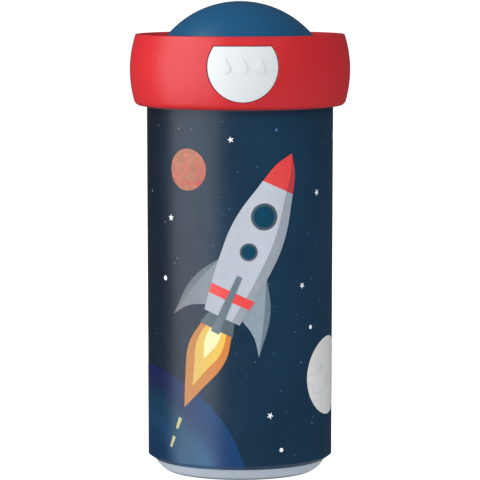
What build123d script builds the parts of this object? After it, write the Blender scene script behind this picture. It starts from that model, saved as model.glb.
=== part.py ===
"""Kids water bottle: a printed cup with a screw-on ring lid, a pop-up dome valve and a side release button.

Millimetres, +Z up, origin at the middle of the foot on the table, the button faces -Y.
The dome plugs a conical seat in the ring. A hollow stem under the dome runs in a hub in the lid, a coil
spring inside the stem pushes it up, and a looped latch plate on the button holds it down.
"""

from build123d import *
from math import atan2, degrees, pi, sin, sqrt
import os

# Overall sizes
cup_radius = 30.9  # outside of the printed wall, just under the lid
wall_draft = 0.3  # the printed wall is this much narrower at the foot
shoulder_height = 121.3  # table to the top of the straight wall
ring_height = 23.6
ring_overhang = 5.6  # from the printed wall out to the ring's belly
dome_rise = 10.8  # dome's top above the drinking rim

# Cup
cup_wall = 1.6
cup_floor = 2.2
film_thickness = 0.22
film_gap = 0.02
film_top_margin = 0.1
foot_height = 5.5  # table to the bottom of the straight wall
foot_inset = 6.6  # from the wall in to the edge the cup stands on
foot_bevel_inset = 2.1  # the print wraps round this bevel
foot_bevel_drop = 1.5
foot_roundness = 1.25  # radius of the foot's curve, over its chord
foot_recess = 1.0
foot_ring_width = 3.2
floor_corner = 4.8
neck_step = 2.8  # from the printed wall in to the neck
shoulder_rise = 1.0
edge_round = 0.5

# Screw thread on the neck, two starts
thread_lead = 8.0
thread_starts = 2
thread_depth = 0.9
thread_root = 1.9
thread_crest = 0.9
thread_bite = 0.3  # how far a ridge is rooted in its wall
thread_end_gap = 0.3  # from a ridge's end to the edge of the wall that carries it
lid_thread_turns = 0.45
thread_play = 0.25  # axial play between the flanks when screwed tight
thread_gap = 0.4  # radial gap from a crest to the other wall

# Ring
ring_gap = 0.3  # between the cup's shoulder and the ring's bottom edge
ring_wall = 1.7
ring_bulge = 1.9
ring_bottom_round = 2.2
ring_foot = 1.4  # thickness of the ring's inward foot round the skirt
ring_foot_gap = 0.06
rim_round = 0.45
lip_width = 1.6
lip_depth = 2.4
funnel_depth = 7.1
funnel_wall = 1.2

# Inner lid
skirt_wall = 1.5
skirt_foot_gap = 0.6
lid_floor = 1.6
gasket_thickness = 1.2
face_gap = 0.05
gasket_side_gap = 0.15
plug_gap = 0.3
plug_wall = 1.5
plug_depth = 3.8
collar_offset = 0.3  # from the neck's bore out to the collar under the funnel
window_count = 6
window_margin = 1.0
window_web = 5.0
rib_count = 10
rib_width = 1.8
rib_gap = 0.06

# Latch and hub
press_travel = 1.5
knob_travel = 5.0
knob_travel_play = 0.2
latch_thickness = 1.8
latch_play = 0.15
latch_bar_width = 9.0
loop_band = 2.6
catch_depth = 0.7
catch_height = 1.9
nose_gap = 0.15
channel_sink = 0.9
channel_wall = 1.3
cover_thickness = 1.0
pocket_gap = 0.4
hub_wall = 1.5
ledge_height = 2.1

# Stem, its seal and its spring
stem_radius = 5.5
stem_bore_radius = 3.9
stem_fit = 0.06
stop_flange_width = 2.7
stop_flange_height = 1.5
stem_foot_gap = 1.0
plug_disc = 1.0
plug_spigot = 1.6
press_gap = 0.05
catch_passage = 0.4
guide_height = 1.2
seal_section = 1.2
retainer_thickness = 0.6
spring_wire = 0.5
spring_side_gap = 0.45
spring_turns = 11
spring_post_height = 5.0
spring_post_gap = 0.4
spring_end_gap = 0.1

# Knob under the dome
knob_floor_gap = 0.3
knob_plate = 1.5
knob_flange = 1.0
knob_seal_height = 0.8
knob_seal_width = 2.0
knob_edge_gap = 1.4  # from the dome's edge out to the conical seat
seat_gap = 0.2
dome_wall = 1.6
dome_edge_round = 0.4
spigot_height = 1.7
spigot_wall = 1.4
spigot_gap = 0.15
well_gap = 0.8
well_wall = 1.2
well_headroom = 0.5
well_ceiling = 1.4
tenon_step = 0.55
tenon_height = 3.1
tenon_cap = 1.2
boss_wall = 1.6

# Button
button_top_margin = 3.1
button_bottom_margin = 2.55
button_flat_share = 0.58  # height of the flat above the button's centre, over its radius
button_gap = 0.18
window_round = 0.2
button_wall = 1.5
button_round = 0.4
button_ear_width = 1.3
button_ear_height = 5.0
button_ear_thickness = 0.7
button_ear_gap = 0.1
clip_wall = 0.9
clip_reach = 2.3  # how far the clip stands in from the button's back
leaf_thickness = 0.35
leaf_width = 5.0
leaf_span = 19.0
leaf_gap = 0.12
shelf_height = 1.0
shelf_reach = 0.8

# Radii, from the wall outwards and inwards
wall_outer = cup_radius - film_thickness - film_gap
neck_radius = cup_radius - neck_step
bore_radius = neck_radius - cup_wall
skirt_inner = neck_radius + thread_depth + thread_gap
skirt_outer = skirt_inner + skirt_wall
belly_radius = cup_radius + ring_overhang
edge_radius = belly_radius - ring_bulge
lip_inner = edge_radius - lip_width
collar_inner = bore_radius + collar_offset

# Heights, from the table up
ring_z = shoulder_height + ring_gap
rim_z = ring_z + ring_height
top_z = rim_z + dome_rise
collar_top = rim_z - funnel_depth
cover_z = collar_top - cover_thickness
channel_z = cover_z - latch_thickness - 2 * latch_play
latch_z = channel_z + latch_play
floor_top = channel_z + channel_sink
floor_z = floor_top - lid_floor
mouth_z = floor_z - gasket_thickness - 2 * face_gap

# Conical seat
seat_slope = (lip_inner - collar_inner) / funnel_depth
funnel_width = funnel_wall * sqrt(1 + seat_slope**2)
collar_outer = collar_inner + funnel_width

# Hub
catch_radius = stem_radius + catch_depth
slot_radius = catch_radius + nose_gap
loop_radius = slot_radius + loop_band
pocket_radius = loop_radius + press_travel + pocket_gap
hub_radius = pocket_radius + hub_wall
ledge_radius = catch_radius + catch_passage
ledge_z = channel_z - ledge_height
flange_radius = stem_radius + stop_flange_width
flange_top = ledge_z - knob_travel - knob_travel_play
stem_z = flange_top - stop_flange_height
lower_bore = flange_radius + catch_passage
hub_bottom = stem_z - stem_foot_gap - plug_spigot
catch_top = latch_z - latch_play
guide_z = catch_top + knob_travel + catch_passage
seal_z = guide_z + guide_height
seal_pocket = stem_radius + stem_fit + seal_section + 0.2
hub_top = seal_z + seal_section + face_gap + retainer_thickness
upper_hub_radius = seal_pocket + hub_wall + 0.6

# Knob
knob_z = collar_top + knob_floor_gap
flange_z = knob_z + knob_seal_height + 2 * face_gap
dome_z = flange_z + knob_flange
ceiling_z = hub_top + well_headroom
tenon_radius = stem_radius - tenon_step
tenon_top = ceiling_z + well_ceiling + tenon_height
spring_top = tenon_top - tenon_cap
well_inner = upper_hub_radius + well_gap
well_outer = well_inner + well_wall

# Thread: the lid's ridges lie just under the neck's, on the same helix
skirt_z = ring_z + skirt_foot_gap
thread_offset = (thread_root + thread_crest) / 2 + thread_play
lid_thread_z = skirt_z + thread_end_gap + thread_root / 2
neck_thread_z = lid_thread_z + thread_offset
neck_thread_rise = mouth_z - edge_round - thread_end_gap - thread_root / 2 - neck_thread_z
neck_thread_turns = neck_thread_rise / thread_lead

# Button
button_radius = (ring_height - button_top_margin - button_bottom_margin) / (1 + button_flat_share)
button_z = ring_z + button_bottom_margin + button_radius
clip_z = latch_z - press_gap - clip_wall
leaf_z = (button_z - button_radius + clip_z - leaf_width) / 2


def seat_radius(z):
    """Radius of the conical seat at a height."""
    return collar_inner + (z - collar_top) * seat_slope


def turned(*outline):
    """A solid of revolution about the bottle's axis, from corner points given as (radius, height)."""
    return revolve(Plane.XZ * make_face(Polyline(*outline, close=True)), Axis.Z)


def tube(outer, inner, low, high):
    """A plain ring about the bottle's axis."""
    return turned((inner, low), (outer, low), (outer, high), (inner, high))


def disc(radius, low, high):
    """A plain disc about the bottle's axis."""
    return Pos(0, 0, low) * Cylinder(radius, high - low, align=(Align.CENTER, Align.CENTER, Align.MIN))


def bar(width, y_from, y_to, low, high):
    """A block centred on X, between two places along Y and two heights."""
    middle = ((y_from + y_to) / 2, (low + high) / 2)
    return Pos(0, middle[0], middle[1]) * Box(width, abs(y_to - y_from), high - low)


def belly_arc():
    """Radius of the arc that bows the ring's side, and the height of its middle."""
    half = ring_height / 2
    return (half**2 + ring_bulge**2) / (2 * ring_bulge), ring_z + half


def belly_at(inset, z):
    """Radius of the ring's barrel shape, taken in by inset, at a height."""
    arc, middle = belly_arc()
    return belly_radius - arc + sqrt((arc - inset) ** 2 - (z - middle) ** 2)


def on_belly(edge):
    """Whether an edge lies on the outside of the ring's barrel shape."""
    return all(abs(Vector(p.X, p.Y).length - belly_at(0, p.Z)) < 0.01 for p in (edge @ 0.25, edge @ 0.5))


def barrel(inset, low=ring_z, high=rim_z):
    """The ring's barrel shape, taken in by inset, between two heights."""
    half_way = (low + high) / 2
    bottom, middle, top = [(belly_at(inset, z), z) for z in (low, half_way, high)]
    side = ThreePointArc(bottom, middle, top)
    outline = Polyline(top, (0, high), (0, low), bottom)
    return revolve(Plane.XZ * make_face([side, outline]), Axis.Z)


def thread_ridges(wall_radius, low, turns, outward):
    """Screw ridges on a wall, one for each start, rising from a height. They lean outwards or inwards."""
    side = 1 if outward else -1
    # The sweep follows a helix on the wall, and the section is a trapezoid square to the axis.
    path = Helix(thread_lead, thread_lead * turns, wall_radius)
    section = make_face(
        Polyline(
            (-side * thread_bite, -thread_root / 2),
            (side * thread_depth, -thread_crest / 2),
            (side * thread_depth, thread_crest / 2),
            (-side * thread_bite, thread_root / 2),
            close=True,
        )
    )
    start = Plane(origin=path @ 0, x_dir=(1, 0, 0), z_dir=path % 0)
    ridge = sweep(start * section, path, is_frenet=True)
    return [Pos(0, 0, low) * Rot(0, 0, 360 * n / thread_starts) * ridge for n in range(thread_starts)]


def make_cup_body():
    """Moulded cup: bevelled foot, straight wall, shoulder and a threaded neck."""
    stand_radius = cup_radius - foot_inset
    low_wall = wall_outer - wall_draft
    bevel_radius = low_wall - foot_bevel_inset
    bevel_z = foot_height - foot_bevel_drop
    inner_low = low_wall - cup_wall
    inner_high = wall_outer - cup_wall
    floor_z_inside = foot_recess + cup_floor
    inner_shoulder_z = shoulder_height + shoulder_rise - (inner_high - bore_radius) - cup_wall
    neck_z = shoulder_height + shoulder_rise

    foot_chord = sqrt((bevel_radius - stand_radius) ** 2 + bevel_z**2)
    foot_arc = RadiusArc((stand_radius, 0), (bevel_radius, bevel_z), -foot_roundness * foot_chord)
    outside = Polyline(
        (bevel_radius, bevel_z),
        (low_wall, foot_height),
        (wall_outer, shoulder_height),
        (neck_radius, neck_z),
        (neck_radius, mouth_z - edge_round),
        (neck_radius - edge_round, mouth_z),
        (bore_radius + edge_round, mouth_z),
        (bore_radius, mouth_z - edge_round),
        (bore_radius, inner_shoulder_z + (inner_high - bore_radius)),
        (inner_high, inner_shoulder_z),
        (inner_low, floor_z_inside + floor_corner),
    )
    corner_middle = floor_corner * (1 - sin(pi / 4))
    floor_arc = ThreePointArc(
        (inner_low, floor_z_inside + floor_corner),
        (inner_low - corner_middle, floor_z_inside + corner_middle),
        (inner_low - floor_corner, floor_z_inside),
    )
    underside = Polyline(
        (inner_low - floor_corner, floor_z_inside),
        (0, floor_z_inside),
        (0, foot_recess),
        (stand_radius - foot_ring_width, foot_recess),
        (stand_radius - foot_ring_width + foot_recess / 2, 0),
        (stand_radius, 0),
    )
    cup = revolve(Plane.XZ * make_face([foot_arc, outside, floor_arc, underside]), Axis.Z)
    for ridge in thread_ridges(neck_radius, neck_thread_z, neck_thread_turns, True):
        cup += ridge
    return cup


def make_print_film():
    """Printed film moulded onto the straight wall and the bevel under it."""
    top = shoulder_height - film_top_margin
    top_narrowing = wall_draft * film_top_margin / (shoulder_height - foot_height)
    low_inner = wall_outer - wall_draft + film_gap
    bevel_inner = low_inner - foot_bevel_inset
    top_inner = wall_outer + film_gap - top_narrowing
    bevel_z = foot_height - foot_bevel_drop
    return turned(
        (bevel_inner, bevel_z),
        (bevel_inner + film_thickness, bevel_z),
        (low_inner + film_thickness, foot_height),
        (top_inner + film_thickness, top),
        (top_inner, top),
        (low_inner, foot_height),
    )


def make_lid_gasket():
    """Flat ring between the cup's mouth and the lid."""
    inner = bore_radius - plug_gap + gasket_side_gap
    return tube(skirt_inner - gasket_side_gap, inner, mouth_z + face_gap, floor_z - face_gap)


def button_outline(grow):
    """The button's face: a disc with a flat top, seen from the front, grown by a margin."""
    radius = button_radius + grow
    flat = button_radius * button_flat_share + grow
    face = Circle(radius) - Pos(0, flat + radius) * Rectangle(4 * radius, 2 * radius)
    return Plane.XZ * Pos(0, button_z) * face


def button_prism(grow):
    """The button's outline drawn out through the front of the ring."""
    return extrude(button_outline(grow), belly_radius + 5)


def make_cap_ring():
    """Ring with a drinking rim, a conical seat inside, and a window for the button."""
    body = barrel(0)
    body = fillet(body.edges().group_by(Axis.Z)[0], ring_bottom_round)
    body = fillet(body.edges().group_by(Axis.Z)[-1], rim_round)
    seat = turned((0, collar_top), (collar_inner, collar_top), (lip_inner, rim_z), (lip_inner, top_z), (0, top_z))
    # The chamber between the funnel and the outer wall, open below round the lid's skirt
    chamber_top = rim_z - lip_depth
    funnel_top = seat_radius(chamber_top) + funnel_width
    funnel = turned((0, collar_top), (collar_outer, collar_top), (funnel_top, chamber_top), (0, chamber_top))
    chamber = barrel(ring_wall, ring_z + ring_foot, chamber_top)
    chamber += disc(skirt_outer + ring_foot_gap, ring_z - 1, ring_z + ring_foot + 1)
    body = body - (chamber - funnel) - seat
    window = button_prism(button_gap) - barrel(ring_wall, ring_z - 1, rim_z + 1)
    whole_edges = body.edges()
    body = body - window
    front_edges = [e for e in body.edges() - whole_edges if on_belly(e)]
    return fillet(front_edges, window_round)


def make_inner_lid():
    """Lid insert: threaded skirt, floor with flow windows, hub and latch channel."""
    plug_outer = bore_radius - plug_gap
    plug_inner = plug_outer - plug_wall
    channel_width = latch_bar_width + 2 * latch_play
    rail_width = channel_width + 2 * channel_wall

    lid = disc(skirt_outer, floor_z, floor_top)
    lid += tube(skirt_outer, skirt_inner, skirt_z, floor_z)
    lid += tube(plug_outer, plug_inner, floor_z - plug_depth, floor_z)
    lid += tube(collar_outer, collar_inner, floor_top, collar_top)
    lid += disc(hub_radius, hub_bottom, cover_z)
    lid += bar(rail_width, 0, -collar_inner - funnel_width / 2, floor_top, cover_z) & disc(collar_outer, 0, top_z)

    # Flow windows between the hub and the plug skirt, with a web where the latch channel runs
    inner_edge = hub_radius + window_margin
    outer_edge = plug_inner - window_margin
    window_ring = tube(outer_edge, inner_edge, floor_z - 1, floor_top + 1)
    for n in range(window_count):
        web_width = window_web if n else rail_width + window_web
        web = bar(web_width, 0, -2 * outer_edge, floor_z - 2, floor_top + 2)
        window_ring -= Rot(0, 0, n * 360 / window_count) * web
    lid -= window_ring

    # Bores of the hub, the latch's pocket and its channel out to the ring's chamber
    lid -= disc(lower_bore, hub_bottom - 1, ledge_z)
    lid -= disc(ledge_radius, ledge_z - 1, channel_z + 1)
    lid -= disc(pocket_radius, channel_z, cover_z + 1)
    lid -= bar(channel_width, 0, -belly_radius, channel_z, collar_top + 1)
    # The cover plate lies in a notch through the collar
    lid -= bar(rail_width, -hub_radius, -belly_radius, cover_z, collar_top + 1)

    # Ribs that centre the lid in the ring, none of them behind the button
    rib = bar(rib_width, -belly_radius, -skirt_inner - skirt_wall / 2, ring_z + ring_foot, floor_top)
    rib = rib & barrel(ring_wall + rib_gap)
    for n in range(rib_count):
        angle = (n + 0.5) * 360 / rib_count
        if abs((angle + 180) % 360 - 180) > 1.2 * degrees(atan2(button_radius, skirt_outer)):
            lid += Rot(0, 0, angle) * rib

    # Shelf under the button's spring
    shelf_top = leaf_z - leaf_gap
    shelf = tube(skirt_outer + shelf_reach, skirt_outer - skirt_wall / 2, shelf_top - shelf_height, shelf_top)
    lid += shelf & bar(leaf_span + 2 * leaf_gap, 0, -belly_radius, ring_z, rim_z)

    for ridge in thread_ridges(skirt_inner, lid_thread_z, lid_thread_turns, False):
        lid += ridge
    return lid


def make_latch_cover():
    """Cover over the latch channel, with the upper half of the hub and the guide for the stem."""
    rail_width = latch_bar_width + 2 * latch_play + 2 * channel_wall
    cover = disc(hub_radius, cover_z, collar_top)
    cover += bar(rail_width, 0, -belly_radius, cover_z, collar_top) & disc(collar_outer, 0, top_z)
    cover += disc(upper_hub_radius, collar_top, hub_top)
    cover -= disc(ledge_radius, cover_z - 1, guide_z)
    cover -= disc(stem_radius + stem_fit, guide_z - 1, hub_top)
    cover -= disc(seal_pocket, seal_z, hub_top + 1)
    return cover


def make_stem_seal():
    """Rubber ring that wipes the stem."""
    middle = stem_radius + stem_fit + seal_section / 2
    return Pos(0, 0, seal_z + seal_section / 2 + face_gap / 2) * Torus(middle, seal_section / 2)


def make_seal_retainer():
    """Washer pressed in over the stem seal."""
    inner = stem_radius + 2 * stem_fit
    return tube(seal_pocket - press_gap, inner, hub_top - retainer_thickness, hub_top)


def make_hub_plug():
    """Plug that closes the hub from below and seats the spring."""
    spigot_radius = lower_bore - press_gap
    spigot_top = hub_bottom + plug_spigot
    post_radius = stem_bore_radius - spring_side_gap - spring_wire - spring_post_gap
    plug = disc(hub_radius, hub_bottom - plug_disc, hub_bottom)
    plug += disc(spigot_radius, hub_bottom, spigot_top)
    plug += disc(post_radius, spigot_top, spigot_top + spring_post_height)
    return plug


def make_pop_up_spring():
    """Coil spring inside the stem, from the plug up to the stem's blind end."""
    coil_radius = stem_bore_radius - spring_side_gap - spring_wire / 2
    low = hub_bottom + plug_spigot + spring_end_gap + spring_wire / 2
    high = spring_top - spring_end_gap - spring_wire / 2
    path = Helix((high - low) / spring_turns, high - low, coil_radius)
    section = Plane(origin=path @ 0, z_dir=path % 0) * Circle(spring_wire / 2)
    return Pos(0, 0, low) * sweep(section, path, is_frenet=True)


def make_valve_stem():
    """Hollow stem with a stop flange, a catch collar and a tenon for the knob."""
    catch_bottom = catch_top - catch_height
    return turned(
        (stem_bore_radius, stem_z),
        (flange_radius, stem_z),
        (flange_radius, flange_top),
        (stem_radius, flange_top),
        (stem_radius, catch_bottom),
        (catch_radius, catch_bottom + catch_depth),
        (catch_radius, catch_top),
        (stem_radius, catch_top),
        (stem_radius, ceiling_z),
        (tenon_radius, ceiling_z),
        (tenon_radius, tenon_top),
        (0, tenon_top),
        (0, spring_top),
        (stem_bore_radius, spring_top),
    )


def dome_sphere():
    """Radius and centre height of the dome's outer sphere, from its edge and its top."""
    edge = seat_radius(dome_z) - knob_edge_gap
    height = top_z - dome_z
    radius = (edge**2 + height**2) / (2 * height)
    return radius, top_z - radius


def dome_inner_radius(z):
    """Radius of the dome's inner face at a height."""
    radius, centre = dome_sphere()
    return sqrt((radius - dome_wall) ** 2 - (z - centre) ** 2)


def make_dome_cap():
    """Domed cap that is pressed down to close the bottle, with a socket for the stem."""
    radius, centre = dome_sphere()
    above = disc(radius, dome_z, top_z + 1)
    outer = Pos(0, 0, centre) * Sphere(radius) & above
    inner = Pos(0, 0, centre) * Sphere(radius - dome_wall) & above
    socket_radius = tenon_radius + press_gap
    socket_z = ceiling_z + well_ceiling + face_gap
    boss = tube(socket_radius + boss_wall, socket_radius, socket_z, top_z) & inner
    outer = fillet(outer.edges().sort_by(Axis.Z)[0], dome_edge_round)
    return (outer - inner) + boss


def make_knob_base():
    """Underside of the knob: plate, flange for the seal, spigot and the well over the hub."""
    seal_inner = seat_radius(knob_z) - knob_seal_width
    flange_outer = seat_radius(dome_z) - knob_edge_gap - dome_wall / 2
    spigot_top = dome_z + spigot_height
    spigot_outer = dome_inner_radius(spigot_top) - spigot_gap
    spigot_inner = spigot_outer - spigot_wall
    plate_top = knob_z + knob_plate
    return turned(
        (well_inner, knob_z),
        (seal_inner, knob_z),
        (seal_inner, flange_z),
        (flange_outer, flange_z),
        (flange_outer, dome_z),
        (spigot_outer, dome_z),
        (spigot_outer, spigot_top),
        (spigot_inner, spigot_top),
        (spigot_inner, plate_top),
        (well_outer, plate_top),
        (well_outer, ceiling_z + well_ceiling),
        (tenon_radius + press_gap, ceiling_z + well_ceiling),
        (tenon_radius + press_gap, ceiling_z),
        (well_inner, ceiling_z),
    )


def make_valve_seal():
    """Rubber ring round the knob that closes on the conical seat."""
    low = knob_z + face_gap
    high = flange_z - face_gap
    inner = seat_radius(knob_z) - knob_seal_width + face_gap
    return turned((inner, low), (seat_radius(low) - seat_gap, low), (seat_radius(high) - seat_gap, high), (inner, high))


def make_release_button():
    """Button flush with the ring's belly, with ears behind the wall and a clip for the latch plate."""
    front = barrel(0) & button_prism(0)
    rim = front.faces().sort_by(Axis.Y)[0].edges()
    face = fillet(rim, button_round) - barrel(button_wall, ring_z - 1, rim_z + 1)

    ear_depth = ring_wall + button_ear_gap
    ear_shell = barrel(ear_depth) - barrel(ear_depth + button_ear_thickness, ring_z - 1, rim_z + 1)
    ear_span = 2 * (button_radius + button_ear_width)
    ears = ear_shell & Pos(0, -belly_radius, button_z) * Box(ear_span, belly_radius, button_ear_height)

    # The clip is a box round the end of the latch plate's bar
    back = belly_radius - button_wall
    slot_width = latch_bar_width + 2 * press_gap
    slot_top = latch_z + latch_thickness + press_gap
    clip = bar(slot_width + 2 * clip_wall, -belly_radius, clip_reach - back, clip_z, slot_top + clip_wall)
    slot = bar(slot_width, 0.4 - back, -hub_radius, latch_z - press_gap, slot_top)
    return face + ears + (clip & barrel(button_wall / 2)) - slot


def make_latch_plate():
    """Sliding plate: a loop round the stem whose far side is the latch, and a bar out to the button."""
    low, high = latch_z, latch_z + latch_thickness

    def long_disc(radius):
        body = disc(radius, low, high) + Pos(0, -press_travel, 0) * disc(radius, low, high)
        return body + bar(2 * radius, 0, -press_travel, low, high)

    bar_end = belly_radius - button_wall - 0.4 - press_gap
    plate = long_disc(loop_radius) + bar(latch_bar_width, 0, -bar_end, low, high)
    return plate - long_disc(slot_radius)


def make_button_spring():
    """Bowed leaf spring between the lid's skirt and the button's back."""
    half = leaf_span / 2
    crown = belly_at(button_wall, leaf_z) - leaf_gap
    end = sqrt((skirt_outer + leaf_gap + leaf_thickness) ** 2 - half**2)
    front = ThreePointArc((-half, -end), (0, -crown), (half, -end))
    back = ThreePointArc((half, leaf_thickness - end), (0, leaf_thickness - crown), (-half, leaf_thickness - end))
    right = Line(front @ 1, back @ 0)
    left = Line(back @ 1, front @ 0)
    return Pos(0, 0, leaf_z) * extrude(make_face([front, right, back, left]), leaf_width)


nodes = {
    "cup_body": make_cup_body,
    "print_film": make_print_film,
    "lid_gasket": make_lid_gasket,
    "cap_ring": make_cap_ring,
    "inner_lid": make_inner_lid,
    "latch_cover": make_latch_cover,
    "stem_seal": make_stem_seal,
    "seal_retainer": make_seal_retainer,
    "hub_plug": make_hub_plug,
    "pop_up_spring": make_pop_up_spring,
    "valve_stem": make_valve_stem,
    "dome_cap": make_dome_cap,
    "knob_base": make_knob_base,
    "valve_seal": make_valve_seal,
    "release_button": make_release_button,
    "latch_plate": make_latch_plate,
    "button_spring": make_button_spring,
}

os.makedirs("parts", exist_ok=True)
for name, make in nodes.items():
    export_step(make(), f"parts/{name}.step")
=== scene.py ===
"""Looks of the kids water bottle: studio, plastics, the wrapped space print, springs and the button's drops."""

import random
from math import asin, cos, hypot, pi, radians, sin

import bpy
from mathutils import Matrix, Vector


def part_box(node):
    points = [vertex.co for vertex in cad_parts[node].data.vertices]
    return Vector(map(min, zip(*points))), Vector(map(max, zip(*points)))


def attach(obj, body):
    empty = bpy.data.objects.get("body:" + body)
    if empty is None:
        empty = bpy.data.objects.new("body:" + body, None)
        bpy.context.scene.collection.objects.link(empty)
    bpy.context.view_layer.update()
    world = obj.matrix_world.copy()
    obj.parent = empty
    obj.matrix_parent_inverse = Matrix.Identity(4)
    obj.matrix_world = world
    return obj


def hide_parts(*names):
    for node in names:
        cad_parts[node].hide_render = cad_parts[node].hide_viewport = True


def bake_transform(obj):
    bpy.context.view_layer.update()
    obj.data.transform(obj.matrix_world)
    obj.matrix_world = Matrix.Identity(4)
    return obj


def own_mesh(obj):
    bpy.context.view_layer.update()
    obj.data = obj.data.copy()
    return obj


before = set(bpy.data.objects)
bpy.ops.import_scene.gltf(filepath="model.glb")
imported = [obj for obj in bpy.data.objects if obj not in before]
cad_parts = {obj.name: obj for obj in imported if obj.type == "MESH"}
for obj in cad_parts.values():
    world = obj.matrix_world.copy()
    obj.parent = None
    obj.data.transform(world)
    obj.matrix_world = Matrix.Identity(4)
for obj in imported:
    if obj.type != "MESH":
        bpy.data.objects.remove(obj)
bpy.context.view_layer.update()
MM = 0.001


# ---------------------------------------------------------------- modelling by hand, in small steps

def rest_hands():
    """Leaves edit mode and selects nothing."""
    if bpy.context.object and bpy.context.object.mode != "OBJECT":
        bpy.ops.object.mode_set(mode="OBJECT")
    bpy.ops.object.select_all(action="DESELECT")


def take(piece):
    """Makes a piece the only selected and active one."""
    rest_hands()
    piece.select_set(True)
    bpy.context.view_layer.objects.active = piece


def called(name):
    """Names the piece that was just added."""
    piece = bpy.context.object
    piece.name = piece.data.name = name
    return piece


def open_all(piece):
    """Opens a piece for editing with everything selected."""
    take(piece)
    bpy.ops.object.mode_set(mode="EDIT")
    bpy.ops.mesh.select_all(action="SELECT")


def finish_with(piece, kind, **settings):
    """Adds a modifier, sets it and applies it."""
    take(piece)
    modifier = piece.modifiers.new(kind.lower(), kind)
    for key, value in settings.items():
        setattr(modifier, key, value)
    bpy.ops.object.modifier_apply(modifier=modifier.name)


def smooth(piece, angle=40):
    """Smooth shading, with edges sharper than an angle kept crisp."""
    take(piece)
    bpy.ops.object.shade_smooth_by_angle(angle=radians(angle))


def join(name, pieces):
    """Joins pieces into one."""
    rest_hands()
    for piece in pieces:
        piece.select_set(True)
    bpy.context.view_layer.objects.active = pieces[0]
    bpy.ops.object.join()
    return called(name)


def dress(piece, material, body):
    """Gives a finished piece its material and its body."""
    piece.data.materials.clear()
    piece.data.materials.append(material)
    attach(piece, body)
    return piece


# ---------------------------------------------------------------- studio

def make_camera():
    """A long lens, a little above the bottle's middle and a touch to the left of the button."""
    turn = radians(-1.5)
    distance = 1.0177
    height = 0.1741
    tilt = 5.47
    place = (distance * sin(turn), -distance * cos(turn), height)
    bpy.ops.object.camera_add(location=place, rotation=(radians(90 - tilt), 0, turn))
    camera = called("camera")
    camera.data.lens = 230.3
    camera.data.sensor_width = 36
    camera.data.clip_end = 50
    bpy.context.scene.camera = camera


def softbox(name, azimuth, height, distance, size, power, aim=0.09):
    """A rectangular soft light round the bottle. Azimuth 0 is the front and grows to the right."""
    place = Vector((distance * sin(radians(azimuth)), -distance * cos(radians(azimuth)), height))
    bpy.ops.object.light_add(type="AREA", location=place)
    light = called(name)
    light.rotation_euler = (Vector((0, 0, aim)) - place).to_track_quat("-Z", "Y").to_euler()
    light.data.shape = "RECTANGLE"
    light.data.size, light.data.size_y = size
    light.data.energy = power
    light.visible_camera = False
    return light


def make_lights():
    """A large key on the left, a front fill, a top light, and light sent back up by the table."""
    softbox("key_left", -60, 0.2, 0.8, (1.02, 1.1), 8.3)
    front = softbox("front", 25, 0.95, 1.3, (1.4, 0.9), 9)
    front.visible_glossy = False
    softbox("top", -80, 1.1, 0.9, (0.8, 0.8), 4.2, aim=0.1)
    facing_up = (pi, 0, 0)
    bounce = softbox("table_bounce", 0, 0.0008, 0.0001, (1.2, 1.2), 2.0)
    bounce.rotation_euler = facing_up
    bounce.visible_glossy = False
    glow = softbox("table_glow", 0, 0.0005, 0.0001, (0.076, 0.076), 0.003)  # what the film's bevel mirrors
    glow.data.shape = "ELLIPSE"
    glow.rotation_euler = facing_up


def make_floor():
    """A pale studio floor."""
    rest_hands()
    bpy.ops.mesh.primitive_plane_add(size=60, location=(0, 0, 0))
    floor = called("studio_floor")
    material, nodes, links, shader = new_material("studio_white", (0.92, 0.92, 0.92), 0.9)
    shader.inputs["Emission Color"].default_value = (1, 1, 1, 1)
    shader.inputs["Emission Strength"].default_value = 0.8
    floor.data.materials.append(material)
    floor.visible_glossy = False
    floor.visible_diffuse = False


def make_world():
    """A pale even surround with dark flags in its reflections, seen as white behind the bottle."""
    world = bpy.data.worlds.new("studio")
    bpy.context.scene.world = world
    world.use_nodes = True
    nodes, links = world.node_tree.nodes, world.node_tree.links
    surround = nodes["Background"]
    surround.inputs["Color"].default_value = (0.93, 0.96, 1.0, 1)
    surround.inputs["Strength"].default_value = 0.4
    path = nodes.new("ShaderNodeLightPath")
    result = surround.outputs[0]
    for ray, colour, strength in (("Is Glossy Ray", (0.8, 0.9, 1.0), 0.08),
                                  ("Is Camera Ray", (1, 1, 1), 1.0)):
        other = nodes.new("ShaderNodeBackground")
        other.inputs["Color"].default_value = (*colour, 1)
        other.inputs["Strength"].default_value = strength
        mix = nodes.new("ShaderNodeMixShader")
        links.new(path.outputs[ray], mix.inputs["Fac"])
        links.new(result, mix.inputs[1])
        links.new(other.outputs[0], mix.inputs[2])
        result = mix.outputs[0]
    links.new(result, nodes["World Output"].inputs["Surface"])
    bpy.context.scene.view_settings.view_transform = "Standard"
    bpy.context.scene.view_settings.look = "None"


# ---------------------------------------------------------------- materials

def tone(red, green, blue):
    """A colour as light, from its everyday 0 to 255 values."""
    shares = (red / 255, green / 255, blue / 255)
    return tuple(c / 12.92 if c <= 0.04045 else ((c + 0.055) / 1.055) ** 2.4 for c in shares)


def new_material(name, colour, roughness, **sockets):
    """A material with its uniform values set on the shader. Returns it with its nodes, links and shader."""
    material = bpy.data.materials.new(name)
    material.use_nodes = True
    shader = material.node_tree.nodes["Principled BSDF"]
    shader.inputs["Base Color"].default_value = (*colour, 1)
    shader.inputs["Roughness"].default_value = roughness
    for key, value in sockets.items():
        shader.inputs[key.replace("_", " ").title().replace("Ior", "IOR")].default_value = value
    return material, material.node_tree.nodes, material.node_tree.links, shader


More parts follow.
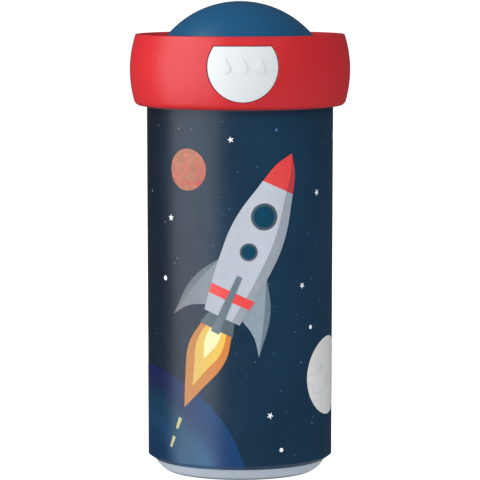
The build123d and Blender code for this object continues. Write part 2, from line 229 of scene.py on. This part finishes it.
def noise(nodes, links, where, scale, detail=2.0, rough=0.5):
    """Noise on a coordinate output. Gives its 0 to 1 value."""
    node = nodes.new("ShaderNodeTexNoise")
    node.inputs["Scale"].default_value = scale
    node.inputs["Detail"].default_value = detail
    node.inputs["Roughness"].default_value = rough
    links.new(where, node.inputs["Vector"])
    return node.outputs["Fac"]


def spread(nodes, links, value, low, high, low_in=0.3, high_in=0.7):
    """Maps a value onto another range."""
    node = nodes.new("ShaderNodeMapRange")
    node.inputs["From Min"].default_value = low_in
    node.inputs["From Max"].default_value = high_in
    node.inputs["To Min"].default_value = low
    node.inputs["To Max"].default_value = high
    links.new(value, node.inputs["Value"])
    return node.outputs["Result"]


def blend_colours(nodes, links, share, first, second, kind="MIX"):
    """Mixes two colours, each a colour or an output, by a share that is a number or an output."""
    node = nodes.new("ShaderNodeMix")
    node.data_type = "RGBA"
    node.blend_type = kind
    for socket, value in ((node.inputs[0], share), (node.inputs[6], first), (node.inputs[7], second)):
        if isinstance(value, bpy.types.NodeSocket):
            links.new(value, socket)
        else:
            socket.default_value = (*value, 1) if isinstance(value, tuple) else value
    return node.outputs[2]


def bump(nodes, links, shader, height, distance, strength=1.0):
    """Raises the surface by a height output."""
    node = nodes.new("ShaderNodeBump")
    node.inputs["Strength"].default_value = strength
    node.inputs["Distance"].default_value = distance
    links.new(height, node.inputs["Height"])
    links.new(node.outputs["Normal"], shader.inputs["Normal"])


def darker(colour, share):
    return tuple(c * share for c in colour)


def moulded(name, colour, roughness, grain=0.012, mottle=0.06, **sockets):
    """Moulded plastic: faint flow clouds, a fine satin grain, and wipe marks that change the gloss."""
    material, nodes, links, shader = new_material(name, colour, roughness, **sockets)
    where = nodes.new("ShaderNodeTexCoord").outputs["Object"]
    clouds = noise(nodes, links, where, 45, 3)
    links.new(
        blend_colours(nodes, links, clouds, darker(colour, 1 - mottle), darker(colour, 1 + mottle)),
        shader.inputs["Base Color"],
    )
    stretch = nodes.new("ShaderNodeMapping")
    stretch.inputs["Scale"].default_value = (1, 1, 0.12)
    stretch.inputs["Rotation"].default_value = (0.5, 0.3, 0.0)
    links.new(where, stretch.inputs["Vector"])
    wipes = noise(nodes, links, stretch.outputs["Vector"], 900, 4, 0.6)
    links.new(spread(nodes, links, wipes, roughness - 0.045, roughness + 0.055), shader.inputs["Roughness"])
    fine = noise(nodes, links, where, 3800, 2)
    bump(nodes, links, shader, fine, grain * MM)
    return material


def printed(name, colour, toward=None, along=(0, 1), span=(0, 1), mottle=0.05, blotch=None):
    """Ink on the film. toward is a second colour that it fades to along a direction of the print, in mm."""
    material, nodes, links, shader = new_material(name, colour, PRINT_ROUGHNESS, ior=1.46)
    where = nodes.new("ShaderNodeTexCoord").outputs["Object"]
    result = colour
    if toward:
        flat = nodes.new("ShaderNodeUVMap")
        flat.uv_map = "print"
        dot = nodes.new("ShaderNodeVectorMath")
        dot.operation = "DOT_PRODUCT"
        dot.inputs[1].default_value = (along[0], along[1], 0)
        links.new(flat.outputs["UV"], dot.inputs[0])
        share = spread(nodes, links, dot.outputs["Value"], 0, 1, *(s * PRINT_UNIT for s in span))
        result = blend_colours(nodes, links, share, result, toward)
    if blotch:
        patches = spread(nodes, links, noise(nodes, links, where, 330, 3, 0.55), 0, 1, 0.46, 0.56)
        result = blend_colours(nodes, links, patches, result, blotch)
    cells = noise(nodes, links, where, 700, 3)
    veil = spread(nodes, links, cells, 1 - mottle, 1 + mottle)
    grey = nodes.new("ShaderNodeCombineColor")
    for channel in grey.inputs:
        links.new(veil, channel)
    shaded = blend_colours(nodes, links, 1.0, result, grey.outputs[0], "MULTIPLY")
    links.new(shaded, shader.inputs["Base Color"])
    rough = noise(nodes, links, where, 260, 3)
    gloss = spread(nodes, links, rough, PRINT_ROUGHNESS - 0.03, PRINT_ROUGHNESS + 0.03)
    links.new(gloss, shader.inputs["Roughness"])
    return material


def across_bottle(nodes, links, where, left, right):
    """Share that grows from 0 at the bottle's left to 1 at its right. Sides are in mm from the middle."""
    parts = nodes.new("ShaderNodeSeparateXYZ")
    links.new(where, parts.inputs[0])
    return spread(nodes, links, parts.outputs["X"], 0, 1, left * MM, right * MM)


def night_sky():
    """The film's dark ground, blue with slow drifts and fine dust, and painted shade that makes it darker and
    grey violet towards the bottle's left.
    """
    material, nodes, links, shader = new_material(
        "print_night_sky", tone(16, 40, 62), PRINT_ROUGHNESS, ior=1.46)
    where = nodes.new("ShaderNodeTexCoord").outputs["Object"]
    drift = nodes.new("ShaderNodeMapping")
    drift.inputs["Rotation"].default_value = (0.5, 0.2, 0.4)
    drift.inputs["Scale"].default_value = (1.0, 1.0, 0.45)
    links.new(where, drift.inputs["Vector"])
    clouds = spread(nodes, links, noise(nodes, links, drift.outputs["Vector"], 24, 4, 0.55), 0, 1, 0.35, 0.68)
    # painted shade: the ground darkens and greys towards the bottle's left
    left = blend_colours(nodes, links, clouds, tone(12, 20, 32), tone(20, 32, 50))
    right = blend_colours(nodes, links, clouds, tone(12, 42, 66), tone(18, 58, 84))
    ground = blend_colours(nodes, links, across_bottle(nodes, links, where, -31, 6), left, right)
    cells = nodes.new("ShaderNodeTexVoronoi")
    cells.inputs["Scale"].default_value = 260
    links.new(where, cells.inputs["Vector"])
    dots = spread(nodes, links, cells.outputs["Distance"], 0.22, 0, 0.03, 0.07)
    ground = blend_colours(nodes, links, dots, ground, tone(120, 140, 165))
    links.new(ground, shader.inputs["Base Color"])
    rough = noise(nodes, links, where, 260, 3)
    gloss = spread(nodes, links, rough, PRINT_ROUGHNESS - 0.03, PRINT_ROUGHNESS + 0.03)
    links.new(gloss, shader.inputs["Roughness"])
    return material


def ramp(nodes, links, share, stops):
    """Colour along a share, through evenly described stops of (place, colour)."""
    node = nodes.new("ShaderNodeValToRGB")
    node.color_ramp.interpolation = "B_SPLINE"
    elements = node.color_ramp.elements
    elements[0].position, elements[0].color = stops[0][0], (*stops[0][1], 1)
    elements[1].position, elements[1].color = stops[-1][0], (*stops[-1][1], 1)
    for position, colour in stops[1:-1]:
        elements.new(position).color = (*colour, 1)
    links.new(share, node.inputs["Fac"])
    return node.outputs["Color"]


def big_planet_ink():
    """Blue planet: soft bands that follow its edge, dusky on one side and lit on the other."""
    (x, y), radius = BIG_PLANET
    material, nodes, links, shader = new_material(
        "print_big_planet", tone(20, 60, 96), PRINT_ROUGHNESS, ior=1.46)
    where = nodes.new("ShaderNodeTexCoord").outputs["Object"]
    flat = nodes.new("ShaderNodeUVMap")
    flat.uv_map = "print"
    away = nodes.new("ShaderNodeVectorMath")
    away.operation = "DISTANCE"
    away.inputs[1].default_value = (x * PRINT_UNIT, y * PRINT_UNIT, 0)
    links.new(flat.outputs["UV"], away.inputs[0])
    wobble = nodes.new("ShaderNodeMath")
    wobble.operation = "MULTIPLY_ADD"
    wobble.inputs[1].default_value = 9 * PRINT_UNIT
    links.new(noise(nodes, links, where, 34, 4, 0.6), wobble.inputs[0])
    links.new(away.outputs["Value"], wobble.inputs[2])
    share = spread(nodes, links, wobble.outputs[0], 0, 1, 6 * PRINT_UNIT, (radius + 5) * PRINT_UNIT)
    dusky = ramp(nodes, links, share, (
        (0.0, tone(4, 40, 74)), (0.40, tone(4, 42, 76)), (0.52, tone(14, 58, 92)), (0.62, tone(2, 48, 78)),
        (0.70, tone(0, 54, 74)), (0.78, tone(6, 40, 74)), (0.88, tone(18, 24, 66)), (1.0, tone(20, 28, 78)),
    ))
    sunny = ramp(nodes, links, share, (
        (0.0, tone(8, 58, 102)), (0.34, tone(12, 62, 106)), (0.46, tone(46, 106, 144)),
        (0.56, tone(24, 76, 114)), (0.66, tone(42, 94, 128)), (0.76, tone(26, 56, 102)),
        (0.90, tone(12, 56, 104)), (1.0, tone(0, 62, 108)),
    ))
    side = across_bottle(nodes, links, where, -25, -11)
    links.new(blend_colours(nodes, links, side, dusky, sunny), shader.inputs["Base Color"])
    return material


def steel_wire():
    """Drawn spring wire: bright, with fine draw lines round it."""
    material, nodes, links, shader = new_material("spring_wire", (0.62, 0.63, 0.65), 0.28, metallic=1.0)
    where = nodes.new("ShaderNodeTexCoord").outputs["Object"]
    lines = noise(nodes, links, where, 6000, 2)
    links.new(spread(nodes, links, lines, 0.2, 0.38), shader.inputs["Roughness"])
    stain = noise(nodes, links, where, 350, 3)
    steel = blend_colours(nodes, links, stain, (0.52, 0.53, 0.55), (0.68, 0.69, 0.7))
    links.new(steel, shader.inputs["Base Color"])
    return material


PRINT_ROUGHNESS = 0.36
PRINT_UNIT = 0.01  # one mm of the print on its flat map
BIG_PLANET = ((-38.0, -4.0), 40.4)
ORANGE_PLANET = (-18.0, 102.0, 6.8, 6.8)
MOON = (37.5, 33.0, 13.0, 13.0)
RINGED_PLANET = (-70.0, 82.0)
SATELLITE = (64.0, 86.0)


# ---------------------------------------------------------------- the print, drawn flat in mm and wrapped

WALL_RADIUS = 30.75 * MM  # radius that the print's width is measured on
PRINT_TURN = radians(-1.5)  # the print's middle, from the button's
INK_STEP = 0.03 * MM
STRIP = 0.8 * MM

film_low, film_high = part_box("print_film")
film_points = [v.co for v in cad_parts["print_film"].data.vertices]
film_edge = film_low.z
film_top = film_high.z
film_corner = film_edge + 1.5 * MM
film_edge_radius = max(hypot(p.x, p.y) for p in film_points if p.z < film_edge + 0.1 * MM)
film_corner_radius = max(hypot(p.x, p.y) for p in film_points if p.z < film_corner + 0.1 * MM)
film_top_radius = film_high.x


def wall_radius(z):
    """The film's outside radius at a height: a slight taper, and a bevel at the foot."""
    if z < film_corner:
        share = (z - film_edge) / (film_corner - film_edge)
        return film_edge_radius + share * (film_corner_radius - film_edge_radius)
    share = (z - film_corner) / (film_top - film_corner)
    return film_corner_radius + share * (film_top_radius - film_corner_radius)


def round_the_wall(piece, layer):
    """Cuts a flat ink into upright strips, trims it to the film, wraps it and gives it its thickness."""
    open_all(piece)
    across = [v.co.x for v in piece.data.vertices]
    for n in range(int(min(across) / STRIP) - 1, int(max(across) / STRIP) + 2):
        bpy.ops.mesh.select_all(action="SELECT")
        bpy.ops.mesh.bisect(plane_co=(n * STRIP, 0, 0), plane_no=(1, 0, 0))
    for level, trims in ((film_edge + 0.02 * MM, {"clear_inner": True}), (film_corner, {}),
                         (film_top - 0.02 * MM, {"clear_outer": True})):
        bpy.ops.mesh.select_all(action="SELECT")
        bpy.ops.mesh.bisect(plane_co=(0, level, 0), plane_no=(0, 1, 0), **trims)
    bpy.ops.mesh.select_all(action="SELECT")
    bpy.ops.mesh.remove_doubles(threshold=0.002 * MM)
    bpy.ops.object.mode_set(mode="OBJECT")
    mesh = piece.data
    chart = (mesh.uv_layers.get("print") or mesh.uv_layers.new(name="print")).data
    for corner in mesh.loops:
        point = mesh.vertices[corner.vertex_index].co
        chart[corner.index].uv = (point.x / MM * PRINT_UNIT, point.y / MM * PRINT_UNIT)
    for vertex in mesh.vertices:
        turn = PRINT_TURN + vertex.co.x / WALL_RADIUS
        radius = wall_radius(vertex.co.y) + layer * INK_STEP
        vertex.co = (radius * sin(turn), -radius * cos(turn), vertex.co.y)
    finish_with(piece, "SOLIDIFY", thickness=0.9 * INK_STEP, offset=-1)
    smooth(piece)


def drawn(name, outline):
    """A flat shape from its outline in mm: (x, y) is a corner, (x, y, 1) a smooth point."""
    curve = bpy.data.curves.new(name, "CURVE")
    curve.dimensions = "2D"
    curve.fill_mode = "BOTH"
    curve.resolution_u = 10
    spline = curve.splines.new("BEZIER")
    spline.bezier_points.add(len(outline) - 1)
    spline.use_cyclic_u = True
    for point, (x, y, *soft) in zip(spline.bezier_points, outline):
        point.co = (x * MM, y * MM, 0)
        point.handle_left_type = point.handle_right_type = "AUTO" if soft else "VECTOR"
    shape = bpy.data.objects.new(name, curve)
    bpy.context.scene.collection.objects.link(shape)
    take(shape)
    bpy.ops.object.convert(target="MESH")
    shape = called(name)
    open_all(shape)
    bpy.ops.mesh.remove_doubles(threshold=0.001 * MM)
    bpy.ops.mesh.normals_make_consistent(inside=False)
    bpy.ops.object.mode_set(mode="OBJECT")
    if shape.data.polygons[0].normal.z < 0:
        open_all(shape)
        bpy.ops.mesh.flip_normals()
        bpy.ops.object.mode_set(mode="OBJECT")
    return shape


def disc(name, x, y, radius, radius_y=None, points=48):
    """A flat disc, or an ellipse."""
    rest_hands()
    bpy.ops.mesh.primitive_circle_add(
        vertices=points, radius=radius * MM, fill_type="NGON", location=(x * MM, y * MM, 0)
    )
    piece = called(name)
    piece.scale.y = (radius_y or radius) / radius
    bpy.ops.object.transform_apply(location=True, rotation=True, scale=True)
    return piece


def star(name, x, y, radius, turn=0.0):
    """A small flat star with five tips."""
    tips = 5
    waist = 0.42
    outline = []
    for n in range(2 * tips):
        reach = radius * (waist if n % 2 else 1)
        angle = pi / 2 + turn + n * pi / tips
        outline.append((x + reach * cos(angle), y + reach * sin(angle)))
    return drawn(name, outline)


def ribbon(name, path, width):
    """A flat line of one width along a path of (x, y) points."""
    left, right = [], []
    for n, (x, y) in enumerate(path):
        before, after = path[max(n - 1, 0)], path[min(n + 1, len(path) - 1)]
        along = Vector((after[0] - before[0], after[1] - before[1])).normalized() * width / 2
        left.append((x - along.y, y + along.x))
        right.append((x + along.y, y - along.x))
    return drawn(name, left + right[::-1])


def lay(piece, layer, material):
    """Wraps a flat ink and fixes it to the cup."""
    round_the_wall(piece, layer)
    dress(piece, material, "cup")


# A plain rocket, in mm across and along its own middle line
ROCKET_PLACE = (5.0, 79.0)
ROCKET_TILT = radians(24)
HULL_TOP = 19.0
HULL_BASE = -27.0
NOSE_TIP = 31.0
NOZZLE_END = -31.5
FLAME_TIP = -60.0


def on_rocket(points):
    """Turns points given across and along the rocket into places on the print."""
    c, s = cos(ROCKET_TILT), sin(ROCKET_TILT)
    x0, y0 = ROCKET_PLACE
    return [(x0 + across * c + along * s, y0 - across * s + along * c, *soft)
            for across, along, *soft in points]


def both_sides(half):
    """A closed outline from its right half, which runs from top to bottom."""
    return half + [(-across, *rest) for across, *rest in reversed(half) if across]


def flip(points):
    """The mirror image across the rocket's middle line, in the other order."""
    return [(-across, *rest) for across, *rest in reversed(points)]


def make_rocket():
    """A rounded hull with a red nose, two portholes, a red band and three swept fins."""
    # painted shade: the hull, fin and fin edge inks darken towards the left of the print
    hull = printed("print_hull", tone(158, 163, 173), tone(197, 203, 214), (1, 0), (-14, 8), mottle=0.03)
    shade = printed("print_hull_shade", tone(150, 158, 168), tone(160, 170, 181), (0.4, 0.9), (50, 105))
    fin = printed("print_fin", tone(106, 111, 117), tone(146, 162, 174), (1, 0), (-22, 8))
    fin_edge = printed("print_fin_edge", tone(92, 98, 105), tone(110, 128, 140), (1, 0), (-22, 8))
    iron = printed("print_iron", tone(84, 98, 106))
    red = printed("print_red", tone(228, 74, 72), tone(236, 70, 70), (1, 0), (-8, 16))
    red_shade = printed("print_red_shade", tone(196, 56, 66))

    blade = [(8.0, -9.0), (14.0, -19.0, 1), (16.5, -34.0), (12.0, -28.5, 1), (6.0, -25.0)]
    edge = [(8.0, -9.0), (14.0, -19.0, 1), (16.5, -34.0), (12.4, -20.5, 1)]
    for side, turned in (("left", flip), ("right", list)):
        lay(drawn(f"rocket_fin_{side}", on_rocket(turned(blade))), 2, fin)
        lay(drawn(f"rocket_fin_{side}_edge", on_rocket(turned(edge))), 3, fin_edge)

    lay(drawn("rocket_nozzle", on_rocket(both_sides([(4.6, HULL_BASE), (6.0, NOZZLE_END)]))), 5, iron)
    lay(drawn("rocket_hull", on_rocket(both_sides(
        [(5.8, HULL_TOP), (9.0, 4.0, 1), (8.6, -10.0, 1), (6.4, HULL_BASE)]))), 4, hull)
    lay(drawn("rocket_hull_shade", on_rocket([
        (3.2, HULL_TOP), (5.8, HULL_TOP), (9.0, 4.0, 1), (8.6, -10.0, 1), (6.4, HULL_BASE), (3.6, HULL_BASE),
        (5.4, -10.0, 1), (5.6, 4.0, 1)])), 5, shade)
    lay(drawn("rocket_nose", on_rocket(both_sides([(0, NOSE_TIP), (3.7, 25.5, 1), (5.8, HULL_TOP)]))), 5, red)
    lay(drawn("rocket_nose_shade", on_rocket(
        [(0, NOSE_TIP), (3.7, 25.5, 1), (5.8, HULL_TOP), (3.2, HULL_TOP), (2.1, 25.5, 1)])), 6, red_shade)
    lay(drawn("rocket_band", on_rocket(both_sides([(7.7, -18.0), (7.2, -21.2)]))), 6, red)
    lay(drawn("rocket_middle_fin", on_rocket(both_sides([(0.9, -12.5), (1.5, -32.5)]))), 7, fin_edge)

    frame_ink = printed("print_frame", tone(76, 92, 102))
    glass = printed("print_glass", tone(0, 40, 62), tone(0, 68, 96), (1, 0.1), (2, 10))
    for name, along, radius, rim in (("upper", 8.5, 4.4, 0.9), ("lower", -4.0, 2.9, 0.7)):
        (x, y), = on_rocket([(-0.6, along)])
        lay(disc(f"rocket_{name}_porthole_rim", x, y, radius, points=64), 6, frame_ink)
        lay(disc(f"rocket_{name}_porthole_glass", x, y, radius - rim, points=64), 7, glass)


def make_flame():
    """A teardrop flame in three colours, with two dashes behind it."""
    # painted shade: each flame ink darkens towards the left of the print
    for name, layer, half, ink in (
            ("outer", 2, [(5.4, NOZZLE_END + 1), (6.9, -40.0, 1), (3.6, -51.0, 1), (0, FLAME_TIP)],
             printed("print_flame", tone(178, 120, 66), tone(214, 124, 48), (1, 0), (-16, 0))),
            ("middle", 3, [(3.6, NOZZLE_END + 1), (4.5, -38.0, 1), (2.2, -45.5, 1), (0, -52.0)],
             printed("print_glow", tone(206, 172, 88), tone(236, 192, 70), (1, 0), (-14, -3))),
            ("core", 4, [(1.8, NOZZLE_END + 1), (2.2, -35.5, 1), (0, -42.0)],
             printed("print_flame_core", tone(226, 218, 168), tone(240, 230, 170), (1, 0), (-14, -3)))):
        lay(drawn(f"flame_{name}", on_rocket(both_sides(half))), layer, ink)
    dashes = [drawn("dash", on_rocket(both_sides([(0.7, top), (0.5, top - 4)]))) for top in (-64.0, -71.0)]
    lay(join("trail_dashes", dashes), 2, printed(
        "print_trail", tone(176, 178, 136), tone(170, 160, 112), (0, -1), (-22, -4)))


def make_planets():
    """The planets, the moon and what else floats round the bottle."""
    centre, radius = BIG_PLANET
    lay(disc("big_planet", *centre, radius, points=200), 1, big_planet_ink())
    lay(disc("orange_planet", *ORANGE_PLANET, 64), 1, printed(
        "print_orange_planet", tone(180, 110, 86), tone(172, 74, 68), (0.45, -1), (-116, -102), mottle=0.12,
        blotch=tone(162, 104, 80)))
    # painted shade: the moon darkens towards its right, at the bottle's right side
    lay(disc("pale_moon", *MOON, 96), 1, printed(
        "print_moon", tone(230, 230, 227), tone(206, 206, 205), (1, 0), (24, 48), mottle=0.02,
        blotch=tone(221, 219, 221)))
    craters = [disc("crater", MOON[0] + x, MOON[1] + y, r, points=24) for x, y, r in (
        (-5.0, 3.0, 1.8), (2.5, 5.0, 1.2), (-1.0, -2.0, 2.4), (5.0, -3.0, 1.7), (-5.5, -5.0, 1.1))]
    lay(join("moon_craters", craters), 2, printed("print_crater", tone(213, 212, 213), mottle=0.02))

    # Round the back: a ringed planet, a small green one and a satellite
    x, y = RINGED_PLANET
    lay(disc("ringed_planet", x, y, 8.6, points=64), 2, printed(
        "print_ringed_planet", tone(196, 150, 96), tone(150, 96, 70), (0.3, -1), (-110, -92),
        blotch=tone(178, 124, 84)))
    ring = []
    for n in range(49):
        angle = radians(160 + 220 * n / 48)
        ring.append((x + 15.0 * cos(angle), y + 4.2 * sin(angle) + 5.0 * cos(angle) * 0.35))
    lay(ribbon("planet_ring", ring, 1.3), 3, printed("print_planet_ring", tone(218, 200, 160)))
    lay(disc("green_planet", 78.0, 52.0, 5.0, points=48), 1, printed(
        "print_green_planet", tone(86, 152, 136), tone(46, 104, 104), (0.3, -1), (-60, -50),
        blotch=tone(112, 172, 150)))
    make_satellite()


def block(name, x0, y0, x1, y1):
    """A flat rectangle between two corners."""
    left, right = min(x0, x1), max(x0, x1)
    return drawn(name, [(left, y0), (right, y0), (right, y1), (left, y1)])


def make_satellite():
    """A satellite: a body, two panels on arms, and a dish with its feed."""
    silver = printed("print_satellite", tone(196, 200, 206))
    panel = printed("print_panel", tone(58, 104, 160))
    x, y = SATELLITE
    lay(block("satellite_body", x - 3, y - 4, x + 3, y + 4), 2, silver)
    for name, side in (("left", -1), ("right", 1)):
        inner, outer = x + side * 4.2, x + side * 12.6
        lay(block(f"satellite_panel_{name}", inner, y - 2.6, outer, y + 2.6), 2, panel)
        lay(block(f"satellite_arm_{name}", x + side * 3, y - 0.35, inner, y + 0.35), 2, silver)
    lay(drawn("satellite_dish", [(x - 3.2, y + 7.4), (x - 2.3, y + 5.2, 1), (x, y + 4.2, 1),
                                 (x + 2.3, y + 5.2, 1), (x + 3.2, y + 7.4)]), 3, silver)
    lay(block("satellite_feed", x - 0.2, y + 7.4, x + 0.2, y + 9.2), 3, silver)


def clear_of_planets(x, y):
    """True where nothing large is printed."""
    (big_x, big_y), big = BIG_PLANET
    discs = ((big_x, big_y, big, big), ORANGE_PLANET, MOON)
    return all(((x - cx) / (rx + 0.8)) ** 2 + ((y - cy) / (ry + 0.8)) ** 2 > 1 for cx, cy, rx, ry in discs)


def make_stars():
    """Five-pointed stars, round ones, and dust scattered all round."""
    bright = printed("print_star", tone(244, 246, 250), mottle=0.02)
    places = ((-25.0, 86.0, 1.2), (-3.0, 112.0, 1.1), (29.0, 94.0, 1.2), (22.0, 64.0, 1.1), (10.0, 22.0, 1.2),
              (44.0, 112.0, 1.1), (-60.0, 104.0, 1.2), (70.0, 68.0, 1.1), (84.0, 100.0, 1.2),
              (-84.0, 58.0, 1.1), (-52.0, 66.0, 0.9), (70.0, 24.0, 1.2))
    stars = [star("star", x, y, size, 0.2 * n) for n, (x, y, size) in enumerate(places)]
    lay(join("stars", stars), 3, bright)
    rounds = ((-28.0, 66.0, 0.8), (26.0, 50.0, 0.7), (14.0, 10.5, 0.7), (58.0, 44.0, 0.7), (-90.0, 90.0, 0.7),
              (92.0, 36.0, 0.6))
    lay(join("round_stars", [disc("round", *place, points=20) for place in rounds]), 3, bright)
    blues = ((12.0, 115.0, 0.5), (-37.0, 94.0, 0.5), (51.0, 100.0, 0.5), (-66.0, 66.0, 0.6), (88.0, 78.0, 0.6))
    lay(join("blue_stars", [disc("blue", *place, points=14) for place in blues]), 1,
        printed("print_blue_star", tone(74, 112, 176), mottle=0.02))

    chance = random.Random(11)
    for name, colour, count, sizes in (("dust_pale", tone(126, 138, 156), 60, (0.12, 0.24)),
                                       ("dust_blue", tone(62, 92, 138), 30, (0.16, 0.3)),
                                       ("dust_grey", tone(96, 108, 126), 60, (0.14, 0.28))):
        specks = []
        while len(specks) < count:
            x, y = chance.uniform(-95, 95), chance.uniform(7, 120)
            if clear_of_planets(x, y):
                specks.append(disc("speck", x, y, chance.uniform(*sizes), points=8))
        lay(join(name, specks), 1, printed(f"print_{name}", colour, mottle=0.02))


def make_seam():
    """The film's overlap down the back."""
    back = pi * WALL_RADIUS / MM
    half = 0.7
    lay(block("print_seam", back - half, film_edge / MM, back + half, film_top / MM), 1,
        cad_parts["print_film"].data.materials[0])


# ---------------------------------------------------------------- plastics, seals and springs

def paint(material, *nodes):
    """Gives CAD nodes a material."""
    for node in nodes:
        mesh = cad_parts[node].data
        mesh.materials.clear()
        mesh.materials.append(material)


def make_pop_up_spring():
    """The knob's coil spring: closed end turns and an open run between them."""
    low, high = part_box("pop_up_spring")
    wire = 0.25 * MM
    coil = high.x - wire
    closed_turns, open_turns, closed_pitch = 1.25, 8.5, 2.3 * wire
    open_pitch = (high.z - low.z - 2 * wire - 2 * closed_turns * closed_pitch) / open_turns
    turned, height, runs = 0.0, low.z + wire, []
    closed = (closed_turns, closed_pitch)
    for turns, pitch in (closed, (open_turns, open_pitch), closed):
        rest_hands()
        place = (coil * cos(turned), coil * sin(turned), height)
        bpy.ops.mesh.primitive_circle_add(
            vertices=12, radius=wire, location=place, rotation=(pi / 2, 0, turned))
        run = called("spring_run")
        bpy.ops.object.transform_apply(location=True, rotation=True, scale=True)
        finish_with(run, "SCREW", angle=2 * pi * turns, screw_offset=pitch * turns,
                    steps=int(28 * turns), render_steps=int(28 * turns))
        runs.append(run)
        turned += 2 * pi * turns
        height += pitch * turns
    spring = join("knob_coil_spring", runs)
    open_all(spring)
    bpy.ops.mesh.remove_doubles(threshold=0.02 * MM)
    bpy.ops.mesh.fill_holes(sides=0)
    bpy.ops.mesh.select_all(action="SELECT")
    bpy.ops.mesh.normals_make_consistent(inside=False)
    smooth(spring, 50)
    spring.data.materials.clear()
    spring.data.materials.append(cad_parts["pop_up_spring"].data.materials[0])
    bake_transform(spring)
    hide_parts("pop_up_spring")


def make_button_spring():
    """The button's bowed leaf spring, with rounded edges."""
    low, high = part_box("button_spring")
    thickness = 0.35 * MM
    half = high.x
    bow = high.y - low.y - thickness
    bend = (half * half + bow * bow) / (2 * bow)
    middle = low.y + bend
    sweep = asin(half / bend)
    rest_hands()
    bpy.ops.mesh.primitive_plane_add(size=1, rotation=(0, pi / 2, 0))
    leaf = called("button_leaf_spring")
    leaf.scale = (high.z - low.z, thickness, 1)
    bpy.ops.object.transform_apply(location=True, rotation=True, scale=True)
    open_all(leaf)
    bpy.ops.transform.translate(value=(0, thickness / 2 - bend, 0))
    bpy.ops.object.mode_set(mode="OBJECT")
    leaf.rotation_euler.z = -sweep
    leaf.location = (0, middle, (low.z + high.z) / 2)
    bpy.ops.object.transform_apply(location=True, rotation=True, scale=True)
    open_all(leaf)
    bpy.ops.mesh.spin(steps=32, angle=2 * sweep, center=(0, middle, 0), axis=(0, 0, 1))
    bpy.ops.mesh.select_all(action="SELECT")
    bpy.ops.mesh.remove_doubles(threshold=0.002 * MM)
    bpy.ops.mesh.normals_make_consistent(inside=False)
    finish_with(leaf, "BEVEL", width=0.06 * MM, segments=2, limit_method="ANGLE")
    smooth(leaf)
    dress(leaf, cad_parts["button_spring"].data.materials[0], "lid")
    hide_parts("button_spring")
    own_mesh(leaf)


def make_button_mark():
    """Three small raised water drops on the button."""
    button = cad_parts["release_button"]
    low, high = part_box("release_button")
    white = button.data.materials[0]
    drops = []
    down = 6.4 * MM  # from the button's top edge to the drops' middle
    for middle in (-5.6, 0.0, 5.6):
        drop = drawn("drop", [
            (middle, 2.5), (middle + 1.3, 0.1, 1), (middle + 1.5, -0.9, 1), (middle, -2.3, 1),
            (middle - 1.5, -0.9, 1), (middle - 1.3, 0.1, 1),
        ])
        open_all(drop)
        for n in range(-2, 3):
            bpy.ops.mesh.select_all(action="SELECT")
            bpy.ops.mesh.bisect(plane_co=((middle + 0.5 * n) * MM, 0, 0), plane_no=(1, 0, 0))
        bpy.ops.object.mode_set(mode="OBJECT")
        for vertex in drop.data.vertices:
            vertex.co = (vertex.co.x, low.y - 2 * MM, high.z - down + vertex.co.y)
        finish_with(drop, "SHRINKWRAP", target=button, wrap_method="PROJECT", use_project_x=False,
                    use_project_y=True, use_project_z=False, use_positive_direction=True,
                    use_negative_direction=False)
        drops.append(drop)
    mark = join("button_drops", drops)
    finish_with(mark, "SOLIDIFY", thickness=0.42 * MM, offset=0.2)
    finish_with(mark, "BEVEL", width=0.2 * MM, segments=3, limit_method="ANGLE")
    smooth(mark)
    dress(mark, white, "button")


def paint_frame():
    """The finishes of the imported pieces."""
    paint(moulded("ring_red_plastic", tone(202, 34, 41), 0.36, subsurface_weight=0.05, subsurface_scale=0.002),
          "cap_ring")
    paint(moulded("dome_blue_plastic", tone(24, 83, 123), 0.34), "dome_cap")
    paint(moulded("button_white_plastic", tone(217, 221, 222), 0.36), "release_button")
    paint(moulded("inner_white_plastic", tone(222, 225, 226), 0.4),
          "inner_lid", "latch_cover", "seal_retainer", "hub_plug", "valve_stem", "knob_base", "latch_plate")
    cup_milky = moulded("cup_milky_plastic", tone(167, 176, 188), 0.38,
                        subsurface_weight=0.25, subsurface_scale=0.003)
    paint(cup_milky, "cup_body")
    paint(moulded("silicone_clear_white", tone(214, 216, 218), 0.5, grain=0.006), "lid_gasket", "valve_seal")
    paint(moulded("seal_rubber_black", tone(34, 34, 36), 0.6), "stem_seal")
    paint(steel_wire(), "pop_up_spring", "button_spring")
    paint(night_sky(), "print_film")


make_camera()
make_lights()
make_floor()
make_world()
paint_frame()
make_planets()
make_stars()
make_seam()
make_pop_up_spring()
make_button_spring()
make_button_mark()
make_rocket()
make_flame()
